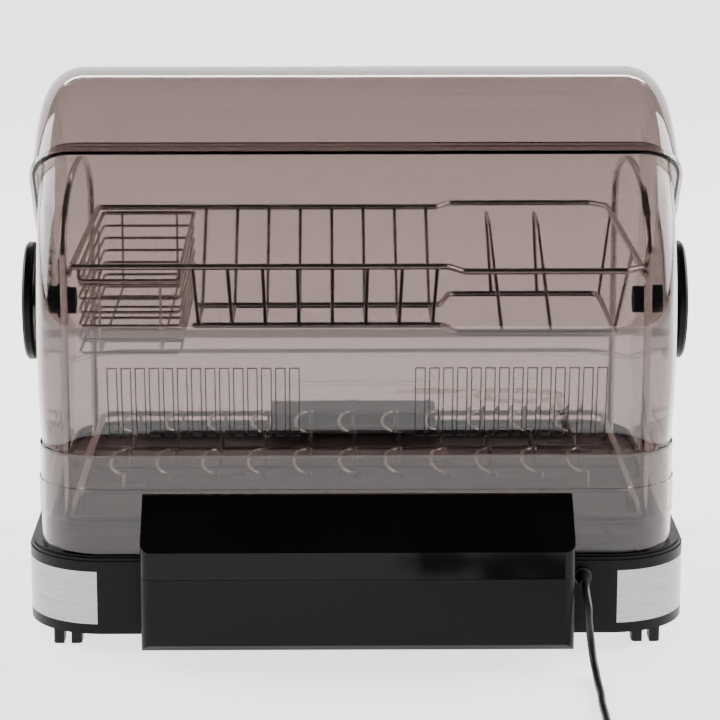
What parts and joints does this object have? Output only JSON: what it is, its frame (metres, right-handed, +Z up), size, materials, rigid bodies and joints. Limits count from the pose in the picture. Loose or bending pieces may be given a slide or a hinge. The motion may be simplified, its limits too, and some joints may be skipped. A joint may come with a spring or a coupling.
{
  "type": "dish dryer",
  "caption": "Countertop dish dryer with a clear roll-top lid over two tiers of wire racks, a fan heater housing behind, a front timer and a drip drawer.",
  "frame": {"origin": "on the counter, under the middle of the box of the appliance without its lead", "axes": "+Z up, -Y towards the front with the timer, +Y towards the fan housing, X along the width"},
  "size_m": [0.5344, 0.69, 0.428],
  "materials": {
    "clear_smoke": "clear smoke-tinted, glossy",
    "black_gloss": "gloss black",
    "black_satin": "fine satin black",
    "black_part": "matt black",
    "grey_tray": "smooth grey",
    "brushed_band": "horizontally brushed",
    "bright_wire": "polished wire",
    "bare_steel": "plain",
    "pale_plastic": "natural",
    "amber_lens": "clear amber",
    "cord_black": "satin black",
    "plated_pin": "plated"
  },
  "bodies": {
    "base": {"cabinet": "clear_smoke", "housing_upper": "black_gloss", "front_console": "black_gloss", "base_tub": "black_satin", "bottom_plate": "black_satin", "base_rim": "black_satin", "housing_lower": "black_satin", "pivot_cap_left": "black_satin", "pivot_cap_right": "black_satin", "pivot_nut_left": "black_part", "pivot_nut_right": "black_part", "inlet_grille": "black_part", "outlet_grille": "black_part", "blower_casing": "black_part", "foot_front_left": "black_part", "foot_front_right": "black_part", "foot_rear_left": "black_part", "foot_rear_right": "black_part", "drain_pan": "grey_tray", "steel_band": "brushed_band", "rack_stand": "bright_wire", "plate_screws": "bare_steel", "housing_screws": "bare_steel", "fan_motor": "bare_steel", "thermal_cutout": "bare_steel", "timer_unit": "pale_plastic", "terminal_block": "pale_plastic", "heater_block": "pale_plastic", "pilot_lens": "amber_lens", "cord_gland": "cord_black", "mains_cord": "cord_black", "cord_coil": "cord_black", "plug_body": "cord_black", "plug_pins": "plated_pin"},
    "drawer": {"drip_drawer": "grey_tray"},
    "timer": {"timer_knob": "black_satin", "timer_shaft": "bare_steel"},
    "lid": {"lid": "clear_smoke"},
    "fan": {"fan_wheel": "pale_plastic", "motor_shaft": "bare_steel"},
    "upper_basket": {"upper_rack": "bright_wire"},
    "cutlery": {"cutlery_basket": "bright_wire"},
    "lower_basket": {"lower_rack": "bright_wire"}
  },
  "joints": [
    {"name": "lid_hinge", "type": "hinge", "parent": "base", "child": "lid", "pos_m": [0, -0.012, 0.238], "axis": [-1, 0, 0], "range_deg": [0, 70]},
    {"name": "upper_rack_lift", "type": "slide", "parent": "base", "child": "upper_basket", "axis": [0, 0, 1], "range_m": [0, 0.03]},
    {"name": "cutlery_basket_lift", "type": "slide", "parent": "upper_basket", "child": "cutlery", "axis": [0, 0, 1], "range_m": [0, 0.03]},
    {"name": "lower_rack_lift", "type": "slide", "parent": "base", "child": "lower_basket", "axis": [0, 0, 1], "range_m": [0, 0.05]},
    {"name": "drip_drawer_slide", "type": "slide", "parent": "base", "child": "drawer", "axis": [0, -1, 0], "range_m": [0, 0.2]},
    {"name": "timer_turn", "type": "hinge", "parent": "base", "child": "timer", "pos_m": [0, -0.2, 0.09], "axis": [0, 1, 0], "range_deg": [0, 300]},
    {"name": "fan_spin", "type": "hinge", "parent": "base", "child": "fan", "pos_m": [0, 0.17, 0.074], "axis": [1, 0, 0], "continuous": true}
  ]
}
